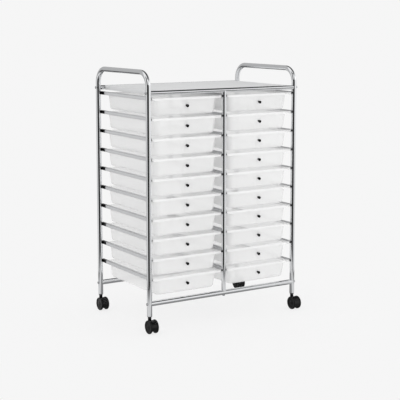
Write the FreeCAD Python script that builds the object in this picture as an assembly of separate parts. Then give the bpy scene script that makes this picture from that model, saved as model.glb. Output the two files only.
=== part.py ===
import FreeCAD, Part
import math
import os

# Rolling drawer cart: chromed tube frame on four swivel casters, with two columns of drawers.
# Millimetres. +X is to the right, -Y is the front, +Z is up. The origin is on the floor,
# under the middle of the cart's outline.

os.makedirs("parts", exist_ok=True)
V = FreeCAD.Vector
AXIS_X = V(1, 0, 0)
AXIS_Y = V(0, 1, 0)
AXIS_Z = V(0, 0, 1)

# Frame
OVERALL_HEIGHT = 953.0
POST_SPAN_X = 644.0
POST_SPAN_Y = 388.0
POST_D = 19.0
TUBE_WALL = 1.2
HANDLE_BEND_R = 55.0
TOP_BAR_Z = 871.0
TOP_BAR_D = 16.0
BOTTOM_BAR_Z = 106.0
BOTTOM_BAR_D = 19.0
CENTRE_POST_D = 16.0
END_PLUG = 22.0
SPIGOT_D = 8.0
SPIGOT_REACH = 6.0

# Shelf
SHELF_ABOVE_BAR = 8.0
SHELF_SHEET = 1.0
SHELF_FLANGE = 16.0
SHELF_END_GAP = 13.5
SHELF_BEND_R = 2.5
SHELF_CORNER_R = 3.0
SHELF_SCREW_X = 200.0
SHELF_SCREW_DROP = 3.5

# Fasteners
BOLT_D = 6.0
BOLT_HEAD_D = 10.5
BOLT_HEAD_HEIGHT = 3.2
BOLT_HEAD_SINK = 2.0
BOLT_REACH = 15.0
BOLT_HEAD_ROUND = 1.6
SHELF_SCREW_D = 4.0
SHELF_SCREW_HEAD_D = 7.5
SHELF_SCREW_HEAD_HEIGHT = 2.2
SHELF_SCREW_REACH = 5.0
RIVET_D = 4.0
RIVET_HEAD_D = 7.0
RIVET_HEAD_HEIGHT = 0.9
RIVET_REACH = 4.0

# Drawer rows and rails
ROWS = 10
TOP_RAIL_Z = 850.0
ROW_PITCH = 73.0
RAIL_HEIGHT = 12.0
RAIL_WIDTH = 9.0
RAIL_SHEET = 1.0
RAIL_FRONT_SETBACK = 4.0
RAIL_EAR = 8.5
STOP_BLOCK = 12.0
STOP_SLEEVE = 25.0
STOP_TONGUE = 10.0
STOP_PEG_D = 5.0
STOP_PEG_REACH = 3.5

# Drawer trays
TRAY_DEPTH = 65.0
TRAY_WALL = 2.0
TRAY_FLOOR = 2.0
RIM_ABOVE_RAIL = 2.0
RIM_SHEET = 2.0
RIM_FRONT_BAND = 8.8
RIM_AHEAD_OF_POSTS = 4.0
RIM_OVERHANG_SIDE = 16.7
RIM_OVERHANG_FRONT = 4.0
RIM_OVERHANG_REAR = 4.0
RIM_CORNER_R = 8.0
TRAY_CORNER_R = 22.0
TRAY_BOTTOM_R = 9.0
DRAFT_SIDE = 5.0
DRAFT_FRONT = 10.0
DRAFT_REAR = 6.0

# Pull knobs
KNOB_BELOW_RAIL = 28.6
KNOB_HEAD_D = 11.0
KNOB_NECK_D = 7.0
KNOB_LENGTH = 11.0
KNOB_HEAD_LENGTH = 6.0
KNOB_ROUND = 2.2
KNOB_SCREW_D = 4.0
KNOB_SCREW_HEAD_D = 8.0
KNOB_SCREW_HEAD_HEIGHT = 2.4
KNOB_SCREW_REACH = 7.0

# Casters
WHEEL_D = 50.0
WHEEL_HALF_WIDTH = 16.5
WHEEL_GAP = 7.0
RIM_TREAD = 6.9
WHEEL_HUB_D = 39.0
WHEEL_EDGE_R = 1.5
WHEEL_FACE_RECESS = 1.2
WHEEL_FACE_RING = 4.5
WHEEL_CAP_D = 14.0
AXLE_D = 6.0
AXLE_COVER = 3.6
CASTER_TRAIL = 16.0
HOOD_BELOW_TREAD = 0.8
HOOD_SHELL = 2.0
HOOD_WEB = 5.0
HOOD_HUB_D = 14.0
HOOD_REAR_DEG = 35.0
HOOD_FRONT_DEG = 208.0
NECK_D = 13.0
NECK_TOP_Z = 55.6
STEM_D = 8.0
STEM_BOTTOM_Z = 43.5
STEM_COLLAR_D = 11.0
STEM_COLLAR = 2.0
STEM_REACH = 26.0
SOCKET_FLANGE_D = 17.0
SOCKET_FLANGE = 3.0
SOCKET_REACH = 32.0

# Clearances
SEAT_GAP = 0.1
FIT = 0.05
RUN_GAP = 0.4
RAIL_RIDE_GAP = 0.3
RIM_SIDE_GAP = 0.75
STOP_GAP = 0.5
STEM_END_GAP = 0.5

# Places worked out from the sizes above
POST_R = POST_D / 2
POST_BORE_R = POST_R - TUBE_WALL
POST_X = POST_SPAN_X / 2
WHEEL_R = WHEEL_D / 2
OUTLINE_SHIFT_Y = (CASTER_TRAIL + WHEEL_R - POST_R) / 2
FRONT_Y = OUTLINE_SHIFT_Y - POST_SPAN_Y / 2
REAR_Y = FRONT_Y + POST_SPAN_Y
HANDLE_Z = OVERALL_HEIGHT - POST_R
STEM_COLLAR_Z = NECK_TOP_Z + RUN_GAP
SOCKET_Z = STEM_COLLAR_Z + STEM_COLLAR
POST_FOOT_Z = SOCKET_Z + SOCKET_FLANGE
TOP_BAR_R = TOP_BAR_D / 2
SHELF_SCREW_Z = TOP_BAR_Z - SHELF_SCREW_DROP
BOTTOM_BAR_R = BOTTOM_BAR_D / 2
CENTRE_POST_R = CENTRE_POST_D / 2
STOP_FACE_Y = REAR_Y - STOP_BLOCK / 2
STOP_START_Y = STOP_FACE_Y - STOP_SLEEVE
RAIL_FRONT_Y = FRONT_Y + RAIL_FRONT_SETBACK
ROW_Z = [TOP_RAIL_Z - row * ROW_PITCH for row in range(ROWS)]
SIDES = {"left": -1, "right": 1}

# Each rail run: where its flat web stands in X, and which way its channel opens
SIDE_FACE = POST_X - POST_R - FIT
CENTRE_FACE = CENTRE_POST_R + FIT
RAIL_RUNS = [(-SIDE_FACE, 1), (-CENTRE_FACE, -1), (CENTRE_FACE, 1), (SIDE_FACE, -1)]

# The tray, drawn about the middle of its column with its rail's centre line at z = 0
RIM_OUTER_GAP = 2 * RAIL_SHEET + RIM_SIDE_GAP
RIM_HALF_X = (SIDE_FACE - CENTRE_FACE) / 2 - RIM_OUTER_GAP
COLUMN_X = (SIDE_FACE + CENTRE_FACE) / 2
RIM_FRONT_Y = FRONT_Y - RIM_AHEAD_OF_POSTS
RIM_REAR_Y = STOP_FACE_Y - STOP_GAP
BODY_HALF_X = RIM_HALF_X - RIM_OVERHANG_SIDE
BODY_FRONT_Y = RIM_FRONT_Y + RIM_OVERHANG_FRONT
BODY_REAR_Y = RIM_REAR_Y - RIM_OVERHANG_REAR
RIM_TOP = RIM_ABOVE_RAIL
RIM_UNDER = RIM_TOP - RIM_SHEET
RIM_LOWEST = RAIL_SHEET - RAIL_HEIGHT / 2 + RAIL_RIDE_GAP
TRAY_BOTTOM = RIM_TOP - TRAY_DEPTH
FRONT_TILT = math.atan2(DRAFT_FRONT, TRAY_DEPTH)
KNOB_BASE_Y = BODY_FRONT_Y + DRAFT_FRONT * (RIM_TOP + KNOB_BELOW_RAIL) / TRAY_DEPTH
WALL_ACROSS = TRAY_WALL * math.cos(FRONT_TILT)


def rod(start, direction, radius, length):
    return Part.makeCylinder(radius, length, start, direction)


def block(x_pair, y_pair, z_pair):
    low = V(min(x_pair), min(y_pair), min(z_pair))
    high = V(max(x_pair), max(y_pair), max(z_pair))
    return Part.makeBox(high.x - low.x, high.y - low.y, high.z - low.z, low)


def polar(radius, degrees, centre_y, centre_z):
    angle = math.radians(degrees)
    return V(0, centre_y + radius * math.cos(angle), centre_z + radius * math.sin(angle))


def arc_edge(start, middle, end):
    return Part.Arc(start, middle, end).toShape()


def rounded_rectangle(x_pair, y_pair, z, radius):
    """A flat closed outline with rounded corners, at height z."""
    edges = []
    corners = [(1, -1, -90), (1, 1, 0), (-1, 1, 90), (-1, -1, 180)]
    points = []
    for side_x, side_y, turn in corners:
        centre = V(max(x_pair) - radius if side_x > 0 else min(x_pair) + radius,
                   max(y_pair) - radius if side_y > 0 else min(y_pair) + radius, z)
        points.append([centre + V(radius * math.cos(math.radians(turn + step)),
                                  radius * math.sin(math.radians(turn + step)), 0) for step in (0, 45, 90)])
    for index, (start, middle, end) in enumerate(points):
        edges.append(arc_edge(start, middle, end))
        edges.append(Part.LineSegment(end, points[(index + 1) % len(points)][0]).toShape())
    return Part.Wire(edges)


def prism(wire, height):
    return Part.Face(wire).extrude(V(0, 0, height))


def turned(points, centre, axis):
    """A solid of revolution from a closed outline of points and (through, end) arcs."""
    edges = []
    at = points[0]
    for step in points[1:] + [points[0]]:
        if isinstance(step, tuple):
            edges.append(arc_edge(at, step[0], step[1]))
            at = step[1]
        else:
            edges.append(Part.LineSegment(at, step).toShape())
            at = step
    return Part.Face(Part.Wire(edges)).revolve(centre, axis, 360)


def round_rim(solid, radius, axis, place):
    """Rounds the round edge of a solid that lies at the given place along an axis."""
    edges = [edge for edge in solid.Edges
             if abs(edge.CenterOfMass.dot(axis) - place) < FIT and isinstance(edge.Curve, Part.Circle)]
    return solid.makeFillet(radius, edges)


# End frames

def end_frame_path(side):
    x = side * POST_X
    bend_z = HANDLE_Z - HANDLE_BEND_R
    front_bend = FRONT_Y + HANDLE_BEND_R
    rear_bend = REAR_Y - HANDLE_BEND_R
    offset = HANDLE_BEND_R * math.sqrt(0.5)
    edges = [
        Part.LineSegment(V(x, FRONT_Y, POST_FOOT_Z), V(x, FRONT_Y, bend_z)).toShape(),
        arc_edge(V(x, FRONT_Y, bend_z), V(x, front_bend - offset, bend_z + offset),
                 V(x, front_bend, HANDLE_Z)),
        Part.LineSegment(V(x, front_bend, HANDLE_Z), V(x, rear_bend, HANDLE_Z)).toShape(),
        arc_edge(V(x, rear_bend, HANDLE_Z), V(x, rear_bend + offset, bend_z + offset),
                 V(x, REAR_Y, bend_z)),
        Part.LineSegment(V(x, REAR_Y, bend_z), V(x, REAR_Y, POST_FOOT_Z)).toShape(),
    ]
    return Part.Wire(edges)


def pipe_along(path, radius):
    start = path.OrderedVertexes[0].Point
    ring = Part.Wire(Part.makeCircle(radius, start, AXIS_Z))
    return path.makePipeShell([ring], True, False)


def end_frame(side):
    path = end_frame_path(side)
    tube = pipe_along(path, POST_R).cut(pipe_along(path, POST_BORE_R))
    outer_x = side * (POST_X + POST_D)
    inward = V(-side, 0, 0)
    cuts = []
    for y in (FRONT_Y, REAR_Y):
        for z in (TOP_BAR_Z, BOTTOM_BAR_Z):
            cuts.append(rod(V(outer_x, y, z), inward, BOLT_D / 2 + SEAT_GAP, 2 * POST_D))
    for z in ROW_Z:
        cuts.append(rod(V(side * POST_X, FRONT_Y, z), inward, RIVET_D / 2 + FIT, POST_D))
        cuts.append(rod(V(side * POST_X, REAR_Y, z), inward, STOP_PEG_D / 2 + SEAT_GAP, POST_D))
    return tube.cut(cuts)


# Crossbars and centre posts

def crossbar(y, z, radius):
    length = POST_SPAN_X
    bar = rod(V(-POST_X, y, z), AXIS_X, radius, length)
    plug_x = POST_X - POST_R - END_PLUG
    bar = bar.cut(rod(V(-plug_x, y, z), AXIS_X, radius - TUBE_WALL, 2 * plug_x))
    cuts = []
    for side in SIDES.values():
        cuts.append(rod(V(side * POST_X, y, z - POST_D), AXIS_Z, POST_R + SEAT_GAP, 2 * POST_D))
        cuts.append(rod(V(side * POST_X, y, z), V(-side, 0, 0), BOLT_D / 2 + FIT,
                        POST_R + BOLT_REACH + RUN_GAP))
    return bar.cut(cuts)


def shelf_inward(y):
    return V(0, 1 if y == FRONT_Y else -1, 0)


def top_crossbar(y):
    bar = crossbar(y, TOP_BAR_Z, TOP_BAR_R)
    cuts = [rod(V(0, y, TOP_BAR_Z), V(0, 0, -1), SPIGOT_D / 2 + SEAT_GAP, TOP_BAR_D)]
    for side in SIDES.values():
        cuts.append(rod(V(side * SHELF_SCREW_X, y, SHELF_SCREW_Z), shelf_inward(y), SHELF_SCREW_D / 2 + FIT,
                        TOP_BAR_D))
    return bar.cut(cuts)


def bottom_crossbar(y):
    bar = crossbar(y, BOTTOM_BAR_Z, BOTTOM_BAR_R)
    bolt_hole = rod(V(0, y, BOTTOM_BAR_Z - BOTTOM_BAR_D), AXIS_Z, BOLT_D / 2 + SEAT_GAP, 2 * BOTTOM_BAR_D)
    return bar.cut(bolt_hole)


def centre_post(y):
    foot = BOTTOM_BAR_Z + BOTTOM_BAR_R
    head = TOP_BAR_Z - TOP_BAR_R
    post = rod(V(0, y, BOTTOM_BAR_Z), AXIS_Z, CENTRE_POST_R, TOP_BAR_Z - BOTTOM_BAR_Z)
    bore_length = head - foot - 2 * END_PLUG
    cuts = [
        rod(V(0, y, foot + END_PLUG), AXIS_Z, CENTRE_POST_R - TUBE_WALL, bore_length),
        rod(V(-POST_X, y, TOP_BAR_Z), AXIS_X, TOP_BAR_R + SEAT_GAP, POST_SPAN_X),
        rod(V(-POST_X, y, BOTTOM_BAR_Z), AXIS_X, BOTTOM_BAR_R + SEAT_GAP, POST_SPAN_X),
        rod(V(0, y, BOTTOM_BAR_Z), AXIS_Z, BOLT_D / 2 + FIT, BOTTOM_BAR_R + BOLT_REACH + RUN_GAP),
    ]
    hole_r = RIVET_D / 2 + FIT if y == FRONT_Y else STOP_PEG_D / 2 + SEAT_GAP
    for z in ROW_Z:
        cuts.append(rod(V(-CENTRE_POST_D, y, z), AXIS_X, hole_r, 2 * CENTRE_POST_D))
    spigot = rod(V(0, y, head - SPIGOT_REACH), AXIS_Z, SPIGOT_D / 2, 2 * SPIGOT_REACH)
    return post.cut(cuts).fuse(spigot)


# Shelf

def top_shelf():
    top = TOP_BAR_Z + SHELF_ABOVE_BAR
    half_x = POST_X - POST_R - SHELF_END_GAP
    y_pair = (FRONT_Y + TOP_BAR_R + SEAT_GAP, REAR_Y - TOP_BAR_R - SEAT_GAP)
    outline = rounded_rectangle((-half_x, half_x), y_pair, top - SHELF_FLANGE, SHELF_CORNER_R)
    solid = prism(outline, SHELF_FLANGE)
    bends = [edge for edge in solid.Edges if edge.BoundBox.ZMin > top - FIT]
    solid = solid.makeFillet(SHELF_BEND_R, bends)
    inner_y = (y_pair[0] + SHELF_SHEET, y_pair[1] - SHELF_SHEET)
    inner = rounded_rectangle((SHELF_SHEET - half_x, half_x - SHELF_SHEET), inner_y, top - SHELF_FLANGE,
                              SHELF_CORNER_R - SHELF_SHEET)
    hollow = prism(inner, SHELF_FLANGE - SHELF_SHEET)
    bends = [edge for edge in hollow.Edges if edge.BoundBox.ZMin > top - SHELF_SHEET - FIT]
    hollow = hollow.makeFillet(SHELF_BEND_R - SHELF_SHEET, bends)
    cuts = [hollow]
    for side in SIDES.values():
        cuts.append(rod(V(side * SHELF_SCREW_X, FRONT_Y, SHELF_SCREW_Z), AXIS_Y,
                        SHELF_SCREW_D / 2 + SEAT_GAP, POST_SPAN_Y))
    return solid.cut(cuts)


# Fasteners

def saddle_bolt(seat, inward, tube_axis, tube_radius, shank):
    """A dome-headed bolt whose head is hollowed to sit on a round tube."""
    tip = seat - inward * BOLT_HEAD_HEIGHT
    head = rod(tip, inward, BOLT_HEAD_D / 2, BOLT_HEAD_HEIGHT + BOLT_HEAD_SINK)
    head = round_rim(head, BOLT_HEAD_ROUND, inward, tip.dot(inward))
    centre = seat + inward * tube_radius
    saddle = rod(centre - tube_axis * BOLT_HEAD_D, tube_axis, tube_radius + FIT, 2 * BOLT_HEAD_D)
    return head.cut(saddle).fuse(rod(seat - inward * FIT, inward, BOLT_D / 2, shank))


def frame_bolts():
    bolts = []
    for side in SIDES.values():
        for y in (FRONT_Y, REAR_Y):
            for z in (TOP_BAR_Z, BOTTOM_BAR_Z):
                seat = V(side * (POST_X + POST_R), y, z)
                bolts.append(saddle_bolt(seat, V(-side, 0, 0), AXIS_Z, POST_R, POST_D + BOLT_REACH))
            direction = shelf_inward(y)
            seat_y = y + direction.y * (TOP_BAR_R + SEAT_GAP + SHELF_SHEET)
            start = V(side * SHELF_SCREW_X, seat_y + direction.y * SHELF_SCREW_HEAD_HEIGHT, SHELF_SCREW_Z)
            head = rod(start, -direction, SHELF_SCREW_HEAD_D / 2, SHELF_SCREW_HEAD_HEIGHT)
            shank = rod(start, -direction, SHELF_SCREW_D / 2, SHELF_SCREW_HEAD_HEIGHT + SHELF_SCREW_REACH)
            bolts.append(head.fuse(shank))
    for y in (FRONT_Y, REAR_Y):
        seat = V(0, y, BOTTOM_BAR_Z - BOTTOM_BAR_R)
        bolts.append(saddle_bolt(seat, AXIS_Z, AXIS_X, BOTTOM_BAR_R, BOTTOM_BAR_D + BOLT_REACH))
    return Part.makeCompound(bolts)


def rail_rivets():
    rivets = []
    for z in ROW_Z:
        for face, opens in RAIL_RUNS:
            start = V(face + opens * (RAIL_SHEET + RIVET_HEAD_HEIGHT), FRONT_Y, z)
            toward_post = V(-opens, 0, 0)
            head = rod(start, toward_post, RIVET_HEAD_D / 2, RIVET_HEAD_HEIGHT)
            shank = rod(start, toward_post, RIVET_D / 2, RIVET_HEAD_HEIGHT + RAIL_SHEET + RIVET_REACH)
            rivets.append(head.fuse(shank))
    return Part.makeCompound(rivets)


# Rails and their stops

def channel(face, opens, y_pair, z):
    outer = block((face, face + opens * RAIL_WIDTH), y_pair, (z - RAIL_HEIGHT / 2, z + RAIL_HEIGHT / 2))
    inner_x = (face + opens * RAIL_SHEET, face + opens * 2 * RAIL_WIDTH)
    inner_z = (z - RAIL_HEIGHT / 2 + RAIL_SHEET, z + RAIL_HEIGHT / 2 - RAIL_SHEET)
    return outer.cut(block(inner_x, y_pair, inner_z))


def drawer_rail(face, opens, z):
    rail = channel(face, opens, (RAIL_FRONT_Y, STOP_START_Y), z)
    ear = block((face, face + opens * RAIL_SHEET), (RAIL_FRONT_Y - RAIL_EAR, RAIL_FRONT_Y),
                (z - RAIL_HEIGHT / 2, z + RAIL_HEIGHT / 2))
    rivet_hole = rod(V(face - opens, FRONT_Y, z), V(opens, 0, 0), RIVET_D / 2 + FIT, RAIL_WIDTH)
    return rail.fuse(ear).removeSplitter().cut(rivet_hole)


def rail_end_stop(face, opens, z):
    sleeve = channel(face, opens, (STOP_START_Y, STOP_FACE_Y), z)
    end = block((face, face + opens * RAIL_WIDTH), (STOP_FACE_Y, STOP_FACE_Y + STOP_BLOCK),
                (z - RAIL_HEIGHT / 2, z + RAIL_HEIGHT / 2))
    lap_z = RAIL_HEIGHT / 2 - RAIL_SHEET - SEAT_GAP
    lap_x = face + opens * 2 * RAIL_SHEET
    tongue = block((face + opens * (RAIL_SHEET + FIT), lap_x),
                   (STOP_START_Y - STOP_TONGUE, STOP_START_Y), (z - lap_z, z + lap_z))
    root = block((face, lap_x), (STOP_START_Y, STOP_START_Y + STOP_TONGUE), (z - lap_z, z + lap_z))
    peg = rod(V(face + opens * RAIL_SHEET, REAR_Y, z), V(-opens, 0, 0), STOP_PEG_D / 2,
              RAIL_SHEET + STOP_PEG_REACH)
    return sleeve.fuse([end, tongue, root, peg]).removeSplitter()


# Drawer trays and pulls

def tray_shell(inset, bottom, bottom_r):
    """The tapered box of a tray, drawn in by a wall thickness, with its lower edge rounded."""
    share = (RIM_TOP - bottom) / TRAY_DEPTH
    half_x = BODY_HALF_X - inset
    front = BODY_FRONT_Y + inset
    rear = BODY_REAR_Y - inset
    corner_r = TRAY_CORNER_R - inset
    low_half_x = half_x - DRAFT_SIDE * share
    upper = rounded_rectangle((-half_x, half_x), (front, rear), RIM_TOP, corner_r)
    low_y = (front + DRAFT_FRONT * share, rear - DRAFT_REAR * share)
    lower = rounded_rectangle((-low_half_x, low_half_x), low_y, bottom, corner_r)
    solid = Part.makeLoft([lower, upper], True, True)
    return solid.makeFillet(bottom_r, [edge for edge in solid.Edges if edge.BoundBox.ZMax < bottom + FIT])


def tray_rim(hollow):
    outline = rounded_rectangle((-RIM_HALF_X, RIM_HALF_X), (RIM_FRONT_Y, RIM_REAR_Y), RIM_LOWEST,
                                RIM_CORNER_R)
    rim = prism(outline, RIM_TOP - RIM_LOWEST)
    inner_half = RIM_HALF_X - RIM_SHEET
    inner_y = (RIM_FRONT_Y + RIM_SHEET, RIM_REAR_Y - RIM_SHEET)
    inner = rounded_rectangle((-inner_half, inner_half), inner_y, RIM_LOWEST, RIM_CORNER_R - RIM_SHEET)
    under = prism(inner, RIM_UNDER - RIM_LOWEST)
    band_half = RIM_HALF_X - RIM_CORNER_R
    band = block((-band_half, band_half), (RIM_FRONT_Y, RIM_FRONT_Y + RIM_SHEET),
                 (RIM_TOP - RIM_FRONT_BAND, RIM_TOP))
    return rim.cut([under, hollow]).fuse(band)


def knob_frame(shape):
    """Stands a shape drawn along -Y square on the sloping drawer front."""
    shape.rotate(V(0, 0, 0), AXIS_X, math.degrees(FRONT_TILT))
    shape.translate(V(0, KNOB_BASE_Y, -KNOB_BELOW_RAIL))
    return shape


def tray_pattern():
    body = tray_shell(0, TRAY_BOTTOM, TRAY_BOTTOM_R)
    hollow = tray_shell(TRAY_WALL, TRAY_BOTTOM + TRAY_FLOOR, TRAY_BOTTOM_R - TRAY_WALL)
    screw_way = 2 * RIM_SHEET + TRAY_WALL
    screw_hole = knob_frame(rod(V(0, -RIM_SHEET, 0), AXIS_Y, KNOB_SCREW_D / 2 + SEAT_GAP, screw_way))
    return body.cut(hollow).fuse(tray_rim(hollow)).cut(screw_hole).removeSplitter()


def pull_pattern():
    neck_r = KNOB_NECK_D / 2
    head_r = KNOB_HEAD_D / 2
    head_y = KNOB_HEAD_LENGTH - KNOB_LENGTH
    shoulder = head_r - KNOB_ROUND
    bend = KNOB_ROUND * (1 - math.sqrt(0.5))
    knob = turned([
        V(0, 0, 0), V(neck_r, 0, 0), V(neck_r, head_y, 0), V(head_r, head_y, 0),
        V(head_r, KNOB_ROUND - KNOB_LENGTH, 0),
        (V(head_r - bend, bend - KNOB_LENGTH, 0), V(shoulder, -KNOB_LENGTH, 0)),
        V(0, -KNOB_LENGTH, 0),
    ], V(0, 0, 0), AXIS_Y)
    knob = knob.cut(rod(V(0, -KNOB_SCREW_REACH - RUN_GAP, 0), AXIS_Y, KNOB_SCREW_D / 2 + FIT, KNOB_LENGTH))
    head = rod(V(0, WALL_ACROSS, 0), AXIS_Y, KNOB_SCREW_HEAD_D / 2, KNOB_SCREW_HEAD_HEIGHT)
    shank = rod(V(0, -KNOB_SCREW_REACH, 0), AXIS_Y, KNOB_SCREW_D / 2, KNOB_SCREW_REACH + WALL_ACROSS + FIT)
    return knob_frame(Part.makeCompound([knob, head.fuse(shank)]))


# Casters, drawn about their stems with the axle towards the front

AXLE_Y = -CASTER_TRAIL
AXLE_Z = WHEEL_R
DRUM_R = WHEEL_R - HOOD_BELOW_TREAD
DRUM_HALF_X = WHEEL_HALF_WIDTH - RIM_TREAD - RUN_GAP


def sector(inner_r):
    """A slice of the hood seen from the side, from its outer curve in to a radius or to the axle."""
    middle = (HOOD_REAR_DEG + HOOD_FRONT_DEG) / 2
    stops = (HOOD_REAR_DEG, middle, HOOD_FRONT_DEG)
    outer = [polar(DRUM_R, degrees, AXLE_Y, AXLE_Z) for degrees in stops]
    inner = [polar(inner_r, degrees, AXLE_Y, AXLE_Z) for degrees in stops]
    edges = [arc_edge(*outer), Part.LineSegment(outer[2], inner[2]).toShape(),
             arc_edge(inner[2], inner[1], inner[0]), Part.LineSegment(inner[0], outer[0]).toShape()]
    return Part.Face(Part.Wire(edges))


def across(face, half_x):
    solid = face.extrude(V(2 * half_x, 0, 0))
    solid.translate(V(-half_x, 0, 0))
    return solid


def axle_rod(radius, half_x):
    return rod(V(-half_x, AXLE_Y, AXLE_Z), AXIS_X, radius, 2 * half_x)


def caster_hood():
    drum = across(sector(DRUM_R - HOOD_SHELL), DRUM_HALF_X)
    web = across(sector(HOOD_HUB_D / 4), HOOD_WEB / 2)
    hub = axle_rod(HOOD_HUB_D / 2, HOOD_WEB / 2)
    neck = rod(V(0, 0, AXLE_Z), AXIS_Z, NECK_D / 2, NECK_TOP_Z - AXLE_Z)
    neck = neck.cut(axle_rod(DRUM_R - HOOD_SHELL, NECK_D))
    stem_bore = rod(V(0, 0, STEM_BOTTOM_Z - STEM_END_GAP), AXIS_Z, STEM_D / 2 + FIT, NECK_TOP_Z)
    axle_bore = axle_rod(AXLE_D / 2 + FIT, HOOD_WEB)
    return drum.fuse([web, hub, neck]).cut([stem_bore, axle_bore]).removeSplitter()


def wheel(side):
    inner_x = WHEEL_GAP / 2
    rim_x = WHEEL_HALF_WIDTH - RIM_TREAD
    cap_x = WHEEL_HALF_WIDTH - WHEEL_FACE_RECESS
    bore_r = AXLE_D / 2 + FIT
    bore_x = WHEEL_HALF_WIDTH - AXLE_COVER
    ring_r = WHEEL_R - WHEEL_FACE_RING
    round_x = WHEEL_HALF_WIDTH - WHEEL_EDGE_R
    round_r = WHEEL_R - WHEEL_EDGE_R
    bend = WHEEL_EDGE_R * math.sqrt(0.5)
    hub_r = WHEEL_HUB_D / 2
    cap_r = WHEEL_CAP_D / 2

    def point(x, radius):
        return V(side * x, AXLE_Y, AXLE_Z + radius)

    return turned([
        point(inner_x, bore_r), point(inner_x, hub_r), point(rim_x, hub_r), point(rim_x, round_r),
        (point(rim_x + WHEEL_EDGE_R - bend, round_r + bend), point(rim_x + WHEEL_EDGE_R, WHEEL_R)),
        point(round_x, WHEEL_R),
        (point(round_x + bend, round_r + bend), point(WHEEL_HALF_WIDTH, round_r)),
        point(WHEEL_HALF_WIDTH, ring_r), point(cap_x, ring_r - WHEEL_FACE_RECESS), point(cap_x, cap_r),
        point(WHEEL_HALF_WIDTH, cap_r - WHEEL_FACE_RECESS), point(WHEEL_HALF_WIDTH, 0),
        point(bore_x, 0), point(bore_x, bore_r),
    ], V(0, AXLE_Y, AXLE_Z), AXIS_X)


def caster_wheels():
    axle = axle_rod(AXLE_D / 2, WHEEL_HALF_WIDTH - AXLE_COVER - FIT)
    return Part.makeCompound([wheel(-1), wheel(1), axle])


def caster_stem():
    pin = rod(V(0, 0, STEM_BOTTOM_Z), AXIS_Z, STEM_D / 2, POST_FOOT_Z + STEM_REACH - STEM_BOTTOM_Z)
    return pin.fuse(rod(V(0, 0, STEM_COLLAR_Z), AXIS_Z, STEM_COLLAR_D / 2, STEM_COLLAR))


def caster_socket():
    sleeve = rod(V(0, 0, SOCKET_Z), AXIS_Z, POST_BORE_R - FIT, SOCKET_FLANGE + SOCKET_REACH)
    flange = rod(V(0, 0, SOCKET_Z), AXIS_Z, SOCKET_FLANGE_D / 2, SOCKET_FLANGE)
    stem_bore = rod(V(0, 0, SOCKET_Z), AXIS_Z, STEM_D / 2 + FIT, SOCKET_FLANGE + SOCKET_REACH)
    return sleeve.fuse(flange).cut(stem_bore)


# Assembly

def moved(shape, x, y, z):
    copy = shape.copy()
    copy.translate(V(x, y, z))
    return copy


def save(name, shape):
    shape.exportStep("parts/" + name + ".step")


def rail_set(make):
    return Part.makeCompound([make(face, opens, z) for z in ROW_Z for face, opens in RAIL_RUNS])


def main():
    for name, side in SIDES.items():
        save(name + "_end_frame", end_frame(side))
    save("centre_posts", Part.makeCompound([centre_post(FRONT_Y), centre_post(REAR_Y)]))
    save("top_crossbars", Part.makeCompound([top_crossbar(FRONT_Y), top_crossbar(REAR_Y)]))
    save("bottom_crossbars", Part.makeCompound([bottom_crossbar(FRONT_Y), bottom_crossbar(REAR_Y)]))
    save("top_shelf", top_shelf())
    save("frame_bolts", frame_bolts())
    save("rail_rivets", rail_rivets())
    save("drawer_rails", rail_set(drawer_rail))
    save("rail_end_stops", rail_set(rail_end_stop))

    tray = tray_pattern()
    pull = pull_pattern()
    for name, side in SIDES.items():
        for row, z in enumerate(ROW_Z):
            label = "_%s_%d" % (name, row + 1)
            save("tray" + label, moved(tray, side * COLUMN_X, 0, z))
            save("pull" + label, moved(pull, side * COLUMN_X, 0, z))

    places = {}
    for end, y in (("front", FRONT_Y), ("rear", REAR_Y)):
        for name, side in SIDES.items():
            places[end + "_" + name] = (side * POST_X, y, 0)
    save("caster_stems", Part.makeCompound([moved(caster_stem(), *place) for place in places.values()]))
    save("caster_sockets", Part.makeCompound([moved(caster_socket(), *place) for place in places.values()]))
    for corner, place in places.items():
        save("caster_hood_" + corner, moved(caster_hood(), *place))
        save("caster_wheels_" + corner, moved(caster_wheels(), *place))


main()
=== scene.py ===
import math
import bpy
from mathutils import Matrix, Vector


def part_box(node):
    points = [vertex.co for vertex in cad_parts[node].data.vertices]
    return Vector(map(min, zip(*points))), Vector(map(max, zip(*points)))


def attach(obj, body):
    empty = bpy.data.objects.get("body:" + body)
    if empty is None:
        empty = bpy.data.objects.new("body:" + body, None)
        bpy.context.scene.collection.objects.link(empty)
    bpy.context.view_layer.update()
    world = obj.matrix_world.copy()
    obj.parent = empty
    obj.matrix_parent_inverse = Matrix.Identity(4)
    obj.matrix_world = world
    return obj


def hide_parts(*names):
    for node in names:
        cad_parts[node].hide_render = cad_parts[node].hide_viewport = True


bl_info = {
    "name": "Rolling Drawer Cart",
    "version": (1, 0, 0),
    "blender": (4, 5, 0),
    "location": "View3D > Sidebar > Cart",
    "description": "Dresses the packed drawer cart: chrome tubes, frosted trays, knobs, casters and studio",
    "category": "Object",
}

import bmesh
import bpy
from bpy.props import FloatProperty, FloatVectorProperty, IntProperty, PointerProperty
from mathutils import Matrix, Vector

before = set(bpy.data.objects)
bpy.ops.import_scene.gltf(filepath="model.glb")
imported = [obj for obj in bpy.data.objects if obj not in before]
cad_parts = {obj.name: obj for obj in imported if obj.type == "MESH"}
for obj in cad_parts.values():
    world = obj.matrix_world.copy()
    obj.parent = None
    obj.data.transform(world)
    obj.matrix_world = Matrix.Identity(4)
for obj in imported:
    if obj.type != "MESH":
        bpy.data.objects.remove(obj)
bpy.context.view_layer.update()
MM = 0.001

ROWS = 10
SIDES = ("left", "right")
CORNERS = ("front_left", "front_right", "rear_left", "rear_right")
RAIL_HEIGHT = 12.0 * MM

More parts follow.
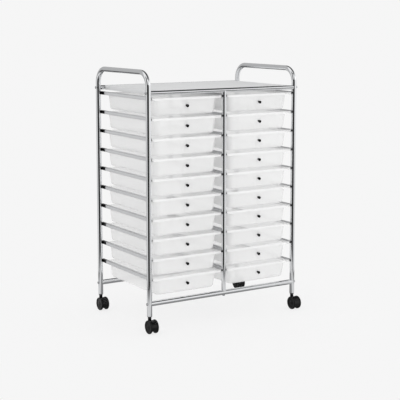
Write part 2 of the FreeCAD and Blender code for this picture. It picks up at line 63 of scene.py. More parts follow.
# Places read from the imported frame
END_LOW, END_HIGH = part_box("left_end_frame")
TRAY_LOW, TRAY_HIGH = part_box("tray_left_1")
SHELF_LOW, SHELF_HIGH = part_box("top_shelf")
ROW_PITCH = TRAY_LOW.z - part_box("tray_left_2")[0].z
RAIL_ROW_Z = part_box("drawer_rails")[1].z - RAIL_HEIGHT / 2
TUBE_R = (END_HIGH.x - END_LOW.x) / 2
FRONT_Y = END_LOW.y + TUBE_R
REAR_Y = END_HIGH.y - TUBE_R


class CartSizes(bpy.types.PropertyGroup):
    """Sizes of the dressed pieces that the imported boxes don't give"""

    handle_bend: FloatProperty(name="Handle Bend", description="Radius of the bends at the tube's centre",
                               default=0.055, unit="LENGTH")
    tube_sides: IntProperty(name="Tube Sides", description="Faces round each chromed tube", default=40,
                            min=12)
    shelf_sheet: FloatProperty(name="Shelf Sheet", description="Thickness of the folded sheet", default=0.001,
                               unit="LENGTH")
    shelf_fold: FloatProperty(name="Shelf Fold", description="Outer radius of the shelf's folded edge",
                              default=0.0025, unit="LENGTH")
    shelf_corner: FloatProperty(name="Shelf Corner", description="Radius of the shelf's upright corners",
                                default=0.0032, unit="LENGTH")
    tray_side_rim: FloatProperty(name="Tray Side Rim", description="Width of the rim that rides in the rails",
                                 default=0.0167, unit="LENGTH")
    tray_end_rim: FloatProperty(name="Tray End Rim", description="Width of the rim at the front and rear",
                                default=0.004, unit="LENGTH")
    tray_wall: FloatProperty(name="Tray Wall", description="Thickness of the moulded trays", default=0.002,
                             unit="LENGTH")
    tray_corner: FloatProperty(name="Tray Corner", description="Radius of the upright tray corners",
                               default=0.022, unit="LENGTH")
    tray_foot: FloatProperty(name="Tray Foot", description="Radius of the tray's lower edge", default=0.009,
                             unit="LENGTH")
    rim_corner: FloatProperty(name="Rim Corner", description="Radius of the rim's corners", default=0.008,
                              unit="LENGTH")
    rim_lip: FloatProperty(name="Rim Lip", description="Height of the lip round the rim", default=0.0067,
                           unit="LENGTH")
    front_band: FloatProperty(name="Front Band", description="Height of the deeper lip at the front",
                              default=0.0088, unit="LENGTH")
    draft_side: FloatProperty(name="Side Draft", description="How far a side wall leans in over its height",
                              default=0.005, unit="LENGTH")
    draft_front: FloatProperty(name="Front Draft", description="How far the front leans in over its height",
                               default=0.010, unit="LENGTH")
    draft_rear: FloatProperty(name="Rear Draft", description="How far the rear leans in over its height",
                              default=0.006, unit="LENGTH")
    knob_drop: FloatProperty(name="Knob Drop", description="Height of the rim's top above the knob",
                             default=0.0306, unit="LENGTH")
    knob_head: FloatProperty(name="Knob Head", description="Diameter of the knob's head", default=0.011,
                             unit="LENGTH")
    knob_neck: FloatProperty(name="Knob Neck", description="Diameter of the knob's neck", default=0.007,
                             unit="LENGTH")
    knob_length: FloatProperty(name="Knob Length", description="How far the knob stands out", default=0.011,
                               unit="LENGTH")


class CartColours(bpy.types.PropertyGroup):
    """Colours of the cart's finishes"""

    chrome: FloatVectorProperty(name="Chrome", description="Plated tube", subtype="COLOR", size=3,
                                default=(0.83, 0.84, 0.855))
    rail: FloatVectorProperty(name="Rail", description="Zinc plated rail", subtype="COLOR", size=3,
                              default=(0.78, 0.785, 0.80))
    shelf: FloatVectorProperty(name="Shelf", description="Painted top shelf", subtype="COLOR", size=3,
                               default=(0.70, 0.705, 0.71))
    frost: FloatVectorProperty(name="Frost", description="Frosted tray plastic", subtype="COLOR", size=3,
                               default=(0.82, 0.82, 0.82))
    fastener: FloatVectorProperty(name="Fastener", description="Bright plated bolt", subtype="COLOR", size=3,
                                  default=(0.60, 0.605, 0.615))
    # Painted shade: the rivets are made this dark to stand in for the shade inside the rails; the caster
    # stems share the same dark tone
    rivet: FloatVectorProperty(name="Rivet", description="Dull steel rivet or stem", subtype="COLOR", size=3,
                               default=(0.14, 0.14, 0.145))
    black: FloatVectorProperty(name="Black", description="Moulded black plastic", subtype="COLOR", size=3,
                               default=(0.003, 0.003, 0.0033))


# Shader maths

# Outputs of the texture coordinate node
DIRECTION = 0
OBJECT_SPOT = 3


class Flow:
    """One output socket of a shader tree, on which arithmetic adds Math nodes."""

    def __init__(self, graph, socket):
        self.graph = graph
        self.socket = socket

    def _math(self, operation, first, second):
        return self.graph.add("ShaderNodeMath", {"operation": operation}, {0: first, 1: second})

    def __add__(self, other):
        return self._math("ADD", self, other)

    def __radd__(self, other):
        return self._math("ADD", other, self)

    def __sub__(self, other):
        return self._math("SUBTRACT", self, other)

    def __rsub__(self, other):
        return self._math("SUBTRACT", other, self)

    def __mul__(self, other):
        return self._math("MULTIPLY", self, other)

    def __rmul__(self, other):
        return self._math("MULTIPLY", other, self)

    def __truediv__(self, other):
        return self._math("DIVIDE", self, other)

    def highest(self, other):
        return self._math("MAXIMUM", self, other)

    def root(self):
        return self._math("SQRT", self, 0.0)


class Graph:
    """A shader tree that nodes are added to by type, settings and inputs."""

    def __init__(self, tree):
        self.tree = tree
        tree.nodes.clear()

    def add(self, kind, settings=None, inputs=None, output=0):
        node = self.tree.nodes.new(kind)
        for key, value in (settings or {}).items():
            setattr(node, key, value)
        for key, value in (inputs or {}).items():
            self.feed(node.inputs[key], value)
        return Flow(self, node.outputs[output]) if node.outputs else None

    def feed(self, socket, value):
        if isinstance(value, Flow):
            self.tree.links.new(value.socket, socket)
        else:
            socket.default_value = value

    def ray(self, kind):
        """1 for light rays of a kind, 0 for the rest."""
        path = self.add("ShaderNodeLightPath").socket.node
        return Flow(self, path.outputs[kind])

    def axes(self, output):
        """X, Y and Z of a texture coordinate."""
        spot = self.add("ShaderNodeTexCoord", output=output)
        split = self.add("ShaderNodeSeparateXYZ", None, {0: spot}).socket.node
        return [Flow(self, socket) for socket in split.outputs]

    def place(self, stretch=(1, 1, 1)):
        """Object coordinates, stretched so that a grain can run along an axis."""
        spot = self.add("ShaderNodeTexCoord", output=OBJECT_SPOT)
        return self.add("ShaderNodeMapping", {"vector_type": "POINT"}, {"Vector": spot, "Scale": stretch})

    def noise(self, scale, detail=2.0, rough=0.5, stretch=(1, 1, 1)):
        return self.add("ShaderNodeTexNoise", {"noise_dimensions": "3D"},
                        {"Vector": self.place(stretch), "Scale": scale, "Detail": detail, "Roughness": rough})

    def step(self, value, low, high):
        """0 below low, 1 above high, smooth between."""
        return self.add("ShaderNodeMapRange", {"interpolation_type": "SMOOTHSTEP"},
                        {"Value": value, "From Min": low, "From Max": high})

    def blend(self, factor, first, second):
        return self.add("ShaderNodeMix", {"data_type": "RGBA"}, {0: factor, 6: first, 7: second}, output=2)

    def bump(self, height, strength, distance):
        return self.add("ShaderNodeBump", None,
                        {"Height": height, "Strength": strength, "Distance": distance})

    def surface(self, values):
        shader = self.add("ShaderNodeBsdfPrincipled", None, values)
        self.add("ShaderNodeOutputMaterial", None, {"Surface": shader})


def tone(colour, level):
    return tuple(channel * level for channel in colour) + (1.0,)


def new_graph(name):
    material = bpy.data.materials.new(name)
    material.use_nodes = True
    return material, Graph(material.node_tree)


def chrome_finish(colour):
    material, graph = new_graph("bright_chrome")
    haze = graph.noise(38.0, 3.0, 0.55)
    scuff = graph.step(graph.noise(420.0, 2.0, 0.6, (1, 1, 0.06)), 0.62, 0.8)
    graph.surface({
        "Base Color": graph.blend(haze, tone(colour, 0.965), tone(colour, 1.0)),
        "Metallic": 1.0,
        "Roughness": 0.045 + haze * 0.035 + scuff * 0.05,
        "Normal": graph.bump(graph.noise(60.0, 2.0, 0.5), 0.02, 0.0004),
    })
    return material


def zinc_finish(colour):
    material, graph = new_graph("zinc_rail")
    streak = graph.noise(190.0, 3.0, 0.6, (1, 0.03, 1))
    cloud = graph.noise(26.0, 2.0, 0.5)
    along, height = graph.axes(OBJECT_SPOT)[1:]
    across = graph.add("ShaderNodeMath", {"operation": "PINGPONG"},
                       {0: height - RAIL_ROW_Z, 1: ROW_PITCH / 2})
    # Painted shade: the folded edges are darkened, and the open front end between them is painted darkest as
    # the shadow inside the channel
    fold = graph.step(across, 4.2 * MM, 5.2 * MM)
    inside = 1 - graph.step(across, 3.4 * MM, 4.2 * MM)
    painted_end_shadow = inside * (1 - graph.step(along, FRONT_Y + 3 * MM, FRONT_Y + 4 * MM))
    plated = graph.blend(streak * 0.6 + cloud * 0.4, tone(colour, 0.88), tone(colour, 1.08))
    graph.surface({
        # The Base Color carries the painted shade of the folds and the painted shadow in the open front end
        "Base Color": graph.blend(painted_end_shadow, graph.blend(fold, plated, tone(colour, 0.60)), tone(colour, 0.06)),
        "Metallic": 0.6,
        "Roughness": 0.24 + streak * 0.12,
        "Normal": graph.bump(streak, 0.08, 0.0002),
    })
    return material


def bright_finish(name, colour):
    material, graph = new_graph(name)
    grain = graph.noise(700.0, 2.0, 0.6)
    graph.surface({
        "Base Color": graph.blend(grain, tone(colour, 0.9), tone(colour, 1.05)),
        "Metallic": 1.0,
        "Roughness": 0.18 + grain * 0.12,
    })
    return material


def shelf_finish(colour):
    material, graph = new_graph("shelf_paint")
    peel = graph.noise(520.0, 2.0, 0.5)
    cloud = graph.noise(7.0, 3.0, 0.5)
    graph.surface({
        "Base Color": graph.blend(cloud, tone(colour, 0.96), tone(colour, 1.03)),
        "Roughness": 0.34 + peel * 0.12,
        "Normal": graph.bump(peel, 0.10, 0.0002),
    })
    return material


def frost_finish(colour):
    material, graph = new_graph("frosted_tray")
    grain = graph.noise(1500.0, 2.0, 0.6)
    flow = graph.noise(9.0, 3.0, 0.55)
    graph.surface({
        "Base Color": graph.blend(flow, tone(colour, 0.98), tone(colour, 1.01)),
        "Roughness": 0.38 + grain * 0.14 + flow * 0.06,
        "IOR": 1.45,
        "Specular IOR Level": 0.35,
        "Alpha": 0.46,
        # Painted glow: the white emission stands in for light scattered through the frosted walls
        "Emission Color": (1.0, 1.0, 1.0, 1.0),
        "Emission Strength": 0.14,
        "Normal": graph.bump(grain, 0.05, 0.0001),
    })
    return material


def black_finish(name, colour, rough, bump):
    material, graph = new_graph(name)
    grain = graph.noise(1100.0, 3.0, 0.6)
    cloud = graph.noise(45.0, 2.0, 0.5)
    graph.surface({
        "Base Color": graph.blend(cloud, tone(colour, 0.8), tone(colour, 1.5)),
        "Roughness": rough + grain * 0.10 + cloud * 0.06,
        "Specular IOR Level": 0.3,
        "Normal": graph.bump(grain, bump, 0.0002),
    })
    return material


def finish(name):
    material = bpy.data.materials.get(name)
    if material is None:
        raise RuntimeError("the finishes have to be made first: " + name)
    return material


# Mesh helpers

def loop(bm, x_pair, y_pair, z, radius, segments=6):
    """Adds the outline of a rounded rectangle and gives its edges."""
    before = set(bm.faces)
    verts = bmesh.ops.create_grid(bm, x_segments=1, y_segments=1, size=0.5)["verts"]
    width = x_pair[1] - x_pair[0]
    depth = y_pair[1] - y_pair[0]
    bmesh.ops.scale(bm, verts=verts, vec=(width, depth, 1))
    bmesh.ops.translate(bm, verts=verts, vec=((x_pair[0] + x_pair[1]) / 2, (y_pair[0] + y_pair[1]) / 2, z))
    bmesh.ops.bevel(bm, geom=verts, offset=radius, offset_type="OFFSET", segments=segments, profile=0.5,
                    affect="VERTICES", material=-1)
    face = [made for made in bm.faces if made not in before][0]
    edges = list(face.edges)
    bmesh.ops.delete(bm, geom=[face], context="FACES_ONLY")
    return edges


def fill(bm, edges):
    bmesh.ops.edgeloop_fill(bm, edges=edges)


def skin(bm, loops):
    """Joins each outline to the next, lifted clear meanwhile because outlines in one plane join crosswise."""
    lift = Vector((0, 0, 0.25))
    for first, second in zip(loops, loops[1:]):
        verts = list({vert for edge in second for vert in edge.verts})
        bmesh.ops.translate(bm, verts=verts, vec=lift)
        bmesh.ops.bridge_loops(bm, edges=first + second)
        bmesh.ops.translate(bm, verts=verts, vec=-lift)


def ring(bm, radius, sides, place):
    made = bmesh.ops.create_circle(bm, cap_ends=False, segments=sides, radius=radius, matrix=place)
    return list({edge for vert in made["verts"] for edge in vert.link_edges})


def push(bm, edges, offset):
    """Extrudes a loop of edges along an offset and gives the new loop."""
    made = bmesh.ops.extrude_edge_only(bm, edges=edges)["geom"]
    verts = [item for item in made if isinstance(item, bmesh.types.BMVert)]
    bmesh.ops.translate(bm, verts=verts, vec=offset)
    new = set(verts)
    return [item for item in made if isinstance(item, bmesh.types.BMEdge) and new.issuperset(item.verts)]


def swing(bm, edges, centre, axis, degrees, steps):
    """Turns a loop of edges about an axis and gives the last loop."""
    verts = list({vert for edge in edges for vert in edge.verts})
    made = bmesh.ops.spin(bm, geom=verts + edges, cent=centre, axis=axis, dvec=(0, 0, 0),
                          angle=math.radians(degrees), steps=steps, use_merge=False, use_duplicate=False)
    return [item for item in made["geom_last"] if isinstance(item, bmesh.types.BMEdge)]


def turn(bm, points, centre, axis, steps):
    """Spins an open profile of points all the way round an axis."""
    verts = [bm.verts.new(point) for point in points]
    edges = [bm.edges.new(pair) for pair in zip(verts, verts[1:])]
    bmesh.ops.spin(bm, geom=verts + edges, cent=centre, axis=axis, dvec=(0, 0, 0), angle=math.tau,
                   steps=steps, use_merge=True, use_duplicate=False)


def arc(centre, radius, start, stop, steps):
    """Points of an arc in a plane, as pairs, from start to stop in degrees."""
    turns = [math.radians(start + (stop - start) * index / steps) for index in range(steps + 1)]
    return [(centre[0] + radius * math.cos(angle), centre[1] + radius * math.sin(angle)) for angle in turns]


def soften(bm, degrees=32.0):
    """Smooth shading with hard edges kept where faces meet at an angle."""
    for face in bm.faces:
        face.smooth = True
    limit = math.radians(degrees)
    for edge in bm.edges:
        if len(edge.link_faces) == 2:
            edge.smooth = edge.calc_face_angle(0.0) < limit


def clean(bm):
    bmesh.ops.remove_doubles(bm, verts=bm.verts[:], dist=1e-6)
    bmesh.ops.recalc_face_normals(bm, faces=bm.faces[:])


def settle(name, mesh, body, material, nodes):
    """Makes the object of a finished mesh and hangs it on its body."""
    mesh.materials.clear()
    mesh.materials.append(finish(material))
    piece = bpy.data.objects.new(name, mesh)
    bpy.context.scene.collection.objects.link(piece)
    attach(piece, body)
    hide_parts(*nodes)


def mesh_of(bm, name):
    mesh = bpy.data.meshes.new(name)
    bm.to_mesh(mesh)
    bm.free()
    return mesh


def smooth_twin(node, body, material, degrees=32.0):
    """A merged, smooth-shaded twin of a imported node."""
    bm = bmesh.new()
    bm.from_mesh(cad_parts[node].data)
    bmesh.ops.remove_doubles(bm, verts=bm.verts[:], dist=1e-6)
    soften(bm, degrees)
    settle(node + "_dressed", mesh_of(bm, node + "_dressed"), body, material, [node])


def drawers():
    """The tag of each drawer, and its place from the first one."""
    for side in SIDES:
        for row in range(ROWS):
            tag = "%s_%d" % (side, row + 1)
            yield tag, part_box("tray_" + tag)[0] - TRAY_LOW


def moved_mesh(mesh, name, offset):
    copy = mesh.copy()
    copy.name = name
    copy.transform(Matrix.Translation(offset))
    return copy


class CartPiece:
    """Shared by the operators that dress the cart"""

    bl_options = {"REGISTER", "UNDO"}

    def sizes(self, context):
        return context.scene.cart_sizes


class CART_OT_finishes(CartPiece, bpy.types.Operator):
    """Makes the finishes that the pieces share"""

    bl_idname = "cart.finishes"
    bl_label = "Finishes"

    def execute(self, context):
        colours = context.scene.cart_colours
        chrome_finish(colours.chrome)
        zinc_finish(colours.rail)
        bright_finish("plated_fastener", colours.fastener)
        # The rivets' dark tone is painted shade from the rails
        bright_finish("dark_steel_and_painted_shade", colours.rivet)
        shelf_finish(colours.shelf)
        frost_finish(colours.frost)
        black_finish("black_moulding", colours.black, 0.16, 0.05)
        black_finish("wheel_nylon", colours.black, 0.20, 0.07)
        return {"FINISHED"}


class CART_OT_end_frames(CartPiece, bpy.types.Operator):
    """Bends the two end frames from one tube each"""

    bl_idname = "cart.end_frames"
    bl_label = "End Frames"

    def execute(self, context):
        sizes = self.sizes(context)
        bend = sizes.handle_bend
        for side in SIDES:
            low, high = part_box(side + "_end_frame")
            x = (low.x + high.x) / 2
            top = high.z - TUBE_R
            bm = bmesh.new()
            start = ring(bm, TUBE_R, sizes.tube_sides, Matrix.Translation((x, FRONT_Y, low.z)))
            edge = push(bm, start, (0, 0, top - bend - low.z))
            edge = swing(bm, edge, (x, FRONT_Y + bend, top - bend), (1, 0, 0), -90, 16)
            edge = push(bm, edge, (0, REAR_Y - FRONT_Y - 2 * bend, 0))
            edge = swing(bm, edge, (x, REAR_Y - bend, top - bend), (1, 0, 0), -90, 16)
            edge = push(bm, edge, (0, 0, low.z + bend - top))
            fill(bm, start)
            fill(bm, edge)
            clean(bm)
            soften(bm)
            name = side + "_handle_tube"
            settle(name, mesh_of(bm, name), "frame", "bright_chrome", [side + "_end_frame"])
        return {"FINISHED"}


class CART_OT_bars(CartPiece, bpy.types.Operator):
    """Dresses the crossbars and the centre posts"""

    bl_idname = "cart.bars"
    bl_label = "Crossbars and Centre Posts"

    def execute(self, context):
        for node in ("top_crossbars", "bottom_crossbars", "centre_posts"):
            smooth_twin(node, "frame", "bright_chrome")
        return {"FINISHED"}


class CART_OT_shelf(CartPiece, bpy.types.Operator):
    """Folds the top shelf from a sheet"""

    bl_idname = "cart.shelf"
    bl_label = "Top Shelf"

    def execute(self, context):
        sizes = self.sizes(context)
        fold = sizes.shelf_fold
        bm = bmesh.new()
        outer = [(0.0, SHELF_LOW.z)]
        outer += [(fold - spot[0], SHELF_HIGH.z - fold + spot[1]) for spot in arc((0, 0), fold, 0, 90, 5)]
        loops = []
        for inset, z in outer:
            x_pair = (SHELF_LOW.x + inset, SHELF_HIGH.x - inset)
            y_pair = (SHELF_LOW.y + inset, SHELF_HIGH.y - inset)
            loops.append(loop(bm, x_pair, y_pair, z, sizes.shelf_corner - min(inset, fold), 4))
        skin(bm, loops)
        fill(bm, loops[-1])
        bmesh.ops.recalc_face_normals(bm, faces=bm.faces[:])
        bmesh.ops.solidify(bm, geom=bm.faces[:], thickness=sizes.shelf_sheet)
        clean(bm)
        soften(bm)
        settle("shelf_sheet", mesh_of(bm, "shelf_sheet"), "frame", "shelf_paint", ["top_shelf"])
        return {"FINISHED"}


class CART_OT_rails(CartPiece, bpy.types.Operator):
    """Dresses the drawer rails, their black stops and their rivets"""

    bl_idname = "cart.rails"
    bl_label = "Drawer Rails"

    def execute(self, context):
        smooth_twin("drawer_rails", "frame", "zinc_rail")
        smooth_twin("rail_end_stops", "frame", "black_moulding")
        smooth_twin("rail_rivets", "frame", "dark_steel_and_painted_shade")
        return {"FINISHED"}


class CART_OT_bolts(CartPiece, bpy.types.Operator):
    """Dresses the frame's bolts and screws"""

    bl_idname = "cart.bolts"
    bl_label = "Bolts"

    def execute(self, context):
        smooth_twin("frame_bolts", "frame", "plated_fastener", 40.0)
        return {"FINISHED"}


class CART_OT_trays(CartPiece, bpy.types.Operator):
    """Moulds the frosted drawer trays"""

    bl_idname = "cart.trays"
    bl_label = "Drawer Trays"

    def execute(self, context):
        pattern = self.pattern(self.sizes(context))
        for tag, offset in drawers():
            name = "frosted_tray_" + tag
            mesh = moved_mesh(pattern, name, offset)
            settle(name, mesh, "drawer_" + tag, "frosted_tray", ["tray_" + tag])
        bpy.data.meshes.remove(pattern)
        return {"FINISHED"}

    def pattern(self, sizes):
        bm = bmesh.new()
        top = TRAY_HIGH.z
        depth = TRAY_HIGH.z - TRAY_LOW.z
        wall = sizes.tray_wall
        foot = sizes.tray_foot

        def shell(inset, down):
            share = down / depth
            across = sizes.tray_side_rim + inset + sizes.draft_side * share
            x_pair = (TRAY_LOW.x + across, TRAY_HIGH.x - across)
            y_pair = (TRAY_LOW.y + sizes.tray_end_rim + inset + sizes.draft_front * share,
                      TRAY_HIGH.y - sizes.tray_end_rim - inset - sizes.draft_rear * share)
            return loop(bm, x_pair, y_pair, top - down, max(sizes.tray_corner - inset, 4 * MM))

        def rim(inset, down):
            x_pair = (TRAY_LOW.x + inset, TRAY_HIGH.x - inset)
            y_pair = (TRAY_LOW.y + inset, TRAY_HIGH.y - inset)
            return loop(bm, x_pair, y_pair, top - down, sizes.rim_corner - inset)

        # The base, raised a little inside its foot, and the foot's round edge
        raised = depth - 0.8 * MM
        loops = [shell(foot + 7 * MM, raised), shell(foot + 5.5 * MM, raised), shell(foot + 4.5 * MM, depth)]
        for step in range(6):
            angle = math.radians(90 * step / 5)
            loops.append(shell(foot * (1 - math.sin(angle)), depth - foot * (1 - math.cos(angle))))
        # The outer wall, the underside of the rim and the lip that hangs from it
        loops += [shell(0.0, wall + 0.8 * MM), shell(-0.25 * MM, wall + 0.25 * MM), shell(-0.8 * MM, wall),
                  rim(wall + 0.6 * MM, wall), rim(wall, wall + 0.6 * MM)]
        lip = [rim(wall, sizes.rim_lip - 0.3 * MM), rim(wall - 0.3 * MM, sizes.rim_lip),
               rim(0.6 * MM, sizes.rim_lip), rim(0.0, sizes.rim_lip - 0.6 * MM)]
        loops += lip
        # The top of the rim, then the inner wall down to the floor
        loops += [rim(0.0, 1.1 * MM), rim(0.32 * MM, 0.32 * MM), rim(1.1 * MM, 0.0)]
        loops += [shell(1.0 * MM, 0.0), shell(1.7 * MM, 0.3 * MM), shell(wall, 1.0 * MM)]
        inner = foot - wall
        for step in range(6):
            angle = math.radians(90 - 90 * step / 5)
            loops.append(shell(wall + inner * (1 - math.sin(angle)),
                               depth - wall - inner * (1 - math.cos(angle))))
        # The lip is deeper along the front, between the corners
        slack = 0.1 * MM
        left = TRAY_LOW.x + sizes.rim_corner - slack
        right = TRAY_HIGH.x - sizes.rim_corner + slack
        front = TRAY_LOW.y + wall + 1 * MM
        band = {vert for edges in lip for edge in edges for vert in edge.verts
                if vert.co.y < front and left < vert.co.x < right}
        bmesh.ops.translate(bm, verts=list(band), vec=(0, 0, sizes.rim_lip - sizes.front_band))
        fill(bm, loops[0])
        skin(bm, loops)
        fill(bm, loops[-1])
        clean(bm)
        soften(bm)
        return mesh_of(bm, "tray_pattern")


class CART_OT_pulls(CartPiece, bpy.types.Operator):
    """Turns the black knobs and the screws behind them"""

    bl_idname = "cart.pulls"
    bl_label = "Pull Knobs"

    def execute(self, context):
        pattern = self.pattern(self.sizes(context))
        for tag, offset in drawers():
            name = "knob_" + tag
            mesh = moved_mesh(pattern, name, offset)
            settle(name, mesh, "drawer_" + tag, "black_moulding", ["pull_" + tag])
        bpy.data.meshes.remove(pattern)
        return {"FINISHED"}

    def pattern(self, sizes):
        bm = bmesh.new()
        depth = TRAY_HIGH.z - TRAY_LOW.z
        tilt = math.atan2(sizes.draft_front, depth)
        wall = sizes.tray_wall * math.cos(tilt)
        head = sizes.knob_head / 2
        neck = sizes.knob_neck / 2
        length = sizes.knob_length
        # Each point of the two profiles is a radius and a distance from the tray's front
        profile = [(0.0, 0.0), (neck + 0.6 * MM, 0.0), (neck + 0.15 * MM, 0.5 * MM), (neck, 1.2 * MM),
                   (neck, 3.8 * MM), (neck + 0.3 * MM, 4.6 * MM), (head - 0.9 * MM, 5.0 * MM),
                   (head - 0.25 * MM, 5.3 * MM), (head, 6.0 * MM), (head, length - 2.4 * MM)]
        profile += arc((head - 2.2 * MM, length - 2.2 * MM), 2.2 * MM, 5, 80, 6)
        profile += [(head * 0.35, length - 0.05 * MM), (0.0, length)]
        turn(bm, [(spot[0], -spot[1], 0) for spot in profile], (0, 0, 0), (0, 1, 0), 32)
        screw_head = 4.0 * MM
        slot_floor = wall + 1.2 * MM
        screw = [(0.0, wall), (screw_head, wall), (screw_head, wall + 0.7 * MM), (3.4 * MM, wall + 1.7 * MM),
                 (2.2 * MM, wall + 2.3 * MM), (1.3 * MM, wall + 2.4 * MM), (1.2 * MM, slot_floor),
                 (0.0, slot_floor)]
        turn(bm, [(spot[0], spot[1], 0) for spot in screw], (0, 0, 0), (0, 1, 0), 24)
        clean(bm)
        base = Vector(((TRAY_LOW.x + TRAY_HIGH.x) / 2,
                       TRAY_LOW.y + sizes.tray_end_rim + sizes.draft_front * sizes.knob_drop / depth,
                       TRAY_HIGH.z - sizes.knob_drop))
        place = Matrix.Translation(base) @ Matrix.Rotation(tilt, 4, "X")
        bmesh.ops.transform(bm, matrix=place, verts=bm.verts[:])
        soften(bm)
        return mesh_of(bm, "knob_pattern")


class CART_OT_casters(CartPiece, bpy.types.Operator):
    """Makes the casters: wheels, hoods, stems and sockets"""

    bl_idname = "cart.casters"
    bl_label = "Casters"

    def execute(self, context):
        smooth_twin("caster_stems", "frame", "dark_steel_and_painted_shade")
        smooth_twin("caster_sockets", "frame", "black_moulding")
        for corner in CORNERS:
            smooth_twin("caster_hood_" + corner, "swivel_" + corner, "black_moulding")
            self.wheels(corner)
        return {"FINISHED"}

    def wheels(self, corner):
        low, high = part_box("caster_wheels_" + corner)
        centre = (low + high) / 2
        outer = (high.z - low.z) / 2
        half = (high.x - low.x) / 2
        bm = bmesh.new()
        # Each point of a wheel's profile is a distance from the caster's middle and a radius
        web = 3.5 * MM
        inner = 9.6 * MM
        inner_round = 1.5 * MM
        outer_round = 2.2 * MM
        dish = half - 1.3 * MM
        profile = [(web, 3.05 * MM), (web, 19.2 * MM), (3.8 * MM, 19.5 * MM), (inner, 19.5 * MM),
                   (inner, outer - inner_round)]
        profile += arc((inner + inner_round, outer - inner_round), inner_round, 157.5, 90, 3)
        profile += arc((half - outer_round, outer - outer_round), outer_round, 90, 0, 5)
        profile += [(half, 20.6 * MM), (half - 0.15 * MM, 20.2 * MM), (half - 1.1 * MM, 19.4 * MM),
                    (dish, 19.0 * MM), (dish, 7.6 * MM), (half - 1.1 * MM, 7.1 * MM),
                    (half - 0.3 * MM, 6.2 * MM), (half - 0.05 * MM, 5.6 * MM), (half, 3.0 * MM), (half, 0.0)]
        for side in (-1, 1):
            turn(bm, [(centre.x + side * spot[0], centre.y, centre.z + spot[1]) for spot in profile], centre,
                 (1, 0, 0), 48)
        axle_half = 12.5 * MM
        axle_end = Matrix.Translation((centre.x - axle_half, centre.y, centre.z))
        axle = ring(bm, 3.0 * MM, 24, axle_end @ Matrix.Rotation(math.pi / 2, 4, "Y"))
        push(bm, axle, (2 * axle_half, 0, 0))
        clean(bm)
        soften(bm, 28.0)
        name = "twin_wheels_" + corner
        settle(name, mesh_of(bm, name), "wheels_" + corner, "wheel_nylon",
               ["caster_wheels_" + corner])


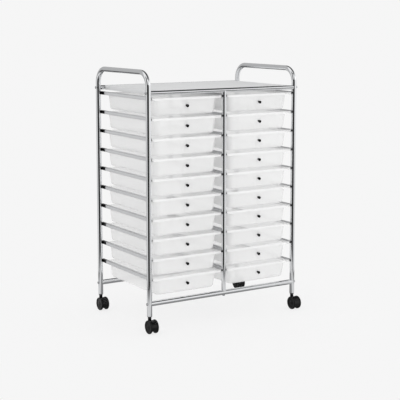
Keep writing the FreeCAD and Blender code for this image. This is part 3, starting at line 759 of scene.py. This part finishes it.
class CART_OT_stage(CartPiece, bpy.types.Operator):
    """Sets the floor, the light and the camera"""

    bl_idname = "cart.stage"
    bl_label = "Stage"

    yaw: FloatProperty(name="Yaw", description="Camera's turn from square on", default=math.radians(32.21),
                       subtype="ANGLE")
    pitch: FloatProperty(name="Pitch", description="Camera's downward tilt", default=math.radians(7.44),
                         subtype="ANGLE")
    lens: FloatProperty(name="Lens", description="Focal length in millimetres", default=98.78)
    shift: FloatProperty(name="Shift", description="Upward shift of the view, in frame widths", default=-0.10)
    stand: FloatVectorProperty(name="Stand", description="Camera's place from the cart's middle on the floor",
                               default=(-2.23625, -3.57603, 1.14002), size=3, subtype="TRANSLATION")
    backdrop: FloatProperty(name="Backdrop", description="Level of the pale backdrop", default=0.92)
    fill_light: FloatProperty(name="Fill", description="Level of the light from all round", default=1.0)

    def execute(self, context):
        scene = context.scene
        scene.view_settings.view_transform = "Standard"
        self.floor(scene)
        self.surround(scene)
        self.lamp(scene, "key_lamp", (-1.5, -2.8, 2.9), 2.4, 16.0)
        self.lamp(scene, "side_lamp", (2.6, -1.2, 2.2), 1.8, 7.0)
        self.lamp(scene, "back_lamp", (0.6, 3.0, 1.4), 2.4, 13.0, False)
        self.camera(scene)
        return {"FINISHED"}

    def floor(self, scene):
        bm = bmesh.new()
        bmesh.ops.create_circle(bm, cap_ends=True, segments=96, radius=1.0)
        material, graph = new_graph("pale_floor")
        seen = graph.ray("Is Camera Ray")
        mirrored = graph.ray("Is Glossy Ray")
        through = graph.ray("Is Transmission Ray")
        spot = graph.add("ShaderNodeTexCoord", output=OBJECT_SPOT)
        reach = graph.add("ShaderNodeVectorMath", {"operation": "LENGTH"}, {0: spot}, output=1)
        far = graph.step(reach, 0.4, 0.95)
        matt = graph.add("ShaderNodeBsdfDiffuse", None, {"Color": (0.87, 0.87, 0.87, 1)})
        # Painted shadow for glossy rays: the floor is dark under and near the cart, lighter in a ring, and
        # darker again further out
        reflected_floor_shade = 0.28 + 0.45 * graph.step(reach, 0.36, 0.55) * (1 - graph.step(reach, 0.70, 0.95))
        level = mirrored * reflected_floor_shade + (1 - mirrored) * self.backdrop
        glow = graph.add("ShaderNodeEmission", None, {"Color": level})
        share = mirrored.highest(seen.highest(through) * (0.86 + far * 0.14))
        both = graph.add("ShaderNodeMixShader", None, {0: share, 1: matt, 2: glow})
        graph.add("ShaderNodeOutputMaterial", None, {"Surface": both})
        mesh = mesh_of(bm, "pale_floor")
        mesh.materials.append(material)
        floor = bpy.data.objects.new("pale_floor", mesh)
        scene.collection.objects.link(floor)

    def surround(self, scene):
        world = bpy.data.worlds.new("studio")
        world.use_nodes = True
        scene.world = world
        graph = Graph(world.node_tree)
        seen = graph.ray("Is Camera Ray").highest(graph.ray("Is Transmission Ray"))
        mirrored = graph.ray("Is Glossy Ray")
        studio = self.reflected(graph, *graph.axes(DIRECTION))
        level = seen * self.backdrop + (1 - seen) * (mirrored * studio + (1 - mirrored) * self.fill_light)
        light = graph.add("ShaderNodeBackground", None, {"Color": (1, 1, 1, 1), "Strength": level})
        graph.add("ShaderNodeOutputWorld", None, {"Surface": light})

    def reflected(self, graph, x, y, z):
        """What the chrome shows: a pale room with a dark doorway, a grey rear wall and dark strips."""
        turned = self.yaw + math.radians(12)
        down = -1 * z
        rear = graph.step(y, 0.30, 0.60)
        # The doorway stands to the left of the camera and reaches high up, so the handle bends show it too
        toward = x * -math.sin(turned) + y * -math.cos(turned)
        facing = toward / (x * x + y * y).root()
        doorway = graph.step(facing, 0.60, 0.82) * (1 - graph.step(z, 0.75, 0.90))
        # One strip overhead and one below the horizon give the crossbars their two dark lines
        overhead = graph.step(z, 0.30, 0.55) * graph.step(x, -0.05, 0.15)
        above = overhead * graph.step(y, -0.72, -0.55) * (1 - graph.step(y, 0.65, 0.80))
        slot = graph.step(x, 0.36, 0.46) * (1 - graph.step(x, 0.62, 0.72))
        front = slot * (1 - graph.step(y, -0.50, -0.35))
        below = front * graph.step(down, 0.05, 0.11) * (1 - graph.step(down, 0.55, 0.66))
        skirting = rear * graph.step(down, 0.20, 0.35)
        shade = doorway.highest(rear * 0.5)
        for strip, depth in ((above, 0.97), (below, 0.92), (skirting, 0.9)):
            shade = shade.highest(strip * depth)
        return 0.98 - 0.95 * shade

    def lamp(self, scene, name, place, size, power, mirrored=True):
        data = bpy.data.lights.new(name, "AREA")
        data.shape = "SQUARE"
        data.size = size
        data.energy = power
        lamp = bpy.data.objects.new(name, data)
        lamp.location = place
        aim = Vector((0, 0, 0.5)) - Vector(place)
        lamp.rotation_euler = aim.to_track_quat("-Z", "Y").to_euler()
        lamp.visible_glossy = mirrored
        scene.collection.objects.link(lamp)

    def camera(self, scene):
        data = bpy.data.cameras.new("cart_camera")
        data.sensor_width = 36.0
        data.lens = self.lens
        data.shift_y = self.shift
        data.clip_end = 50.0
        camera = bpy.data.objects.new("cart_camera", data)
        camera.location = Vector(self.stand) + Vector((0, (FRONT_Y + REAR_Y) / 2, 0))
        level = math.cos(self.pitch)
        aim = Vector((math.sin(self.yaw) * level, math.cos(self.yaw) * level, -math.sin(self.pitch)))
        camera.rotation_euler = aim.to_track_quat("-Z", "Y").to_euler()
        scene.collection.objects.link(camera)
        scene.camera = camera


STEPS = (CART_OT_finishes, CART_OT_end_frames, CART_OT_bars, CART_OT_shelf, CART_OT_rails, CART_OT_bolts,
         CART_OT_trays, CART_OT_pulls, CART_OT_casters, CART_OT_stage)


class CART_PT_panel(bpy.types.Panel):
    """Lists the steps that dress the cart"""

    bl_idname = "CART_PT_panel"
    bl_label = "Drawer Cart"
    bl_space_type = "VIEW_3D"
    bl_region_type = "UI"
    bl_category = "Cart"

    def draw(self, context):
        for step in STEPS:
            self.layout.operator(step.bl_idname)
        for group in (context.scene.cart_sizes, context.scene.cart_colours):
            for key in group.__annotations__:
                self.layout.prop(group, key)


CLASSES = (CartSizes, CartColours) + STEPS + (CART_PT_panel,)


def register():
    for item in CLASSES:
        bpy.utils.register_class(item)
    bpy.types.Scene.cart_sizes = PointerProperty(type=CartSizes)
    bpy.types.Scene.cart_colours = PointerProperty(type=CartColours)


def unregister():
    del bpy.types.Scene.cart_colours
    del bpy.types.Scene.cart_sizes
    for item in reversed(CLASSES):
        bpy.utils.unregister_class(item)


def main():
    register()
    for step in STEPS:
        area, name = step.bl_idname.split(".")
        getattr(getattr(bpy.ops, area), name)()


if __name__ == "__main__":
    main()
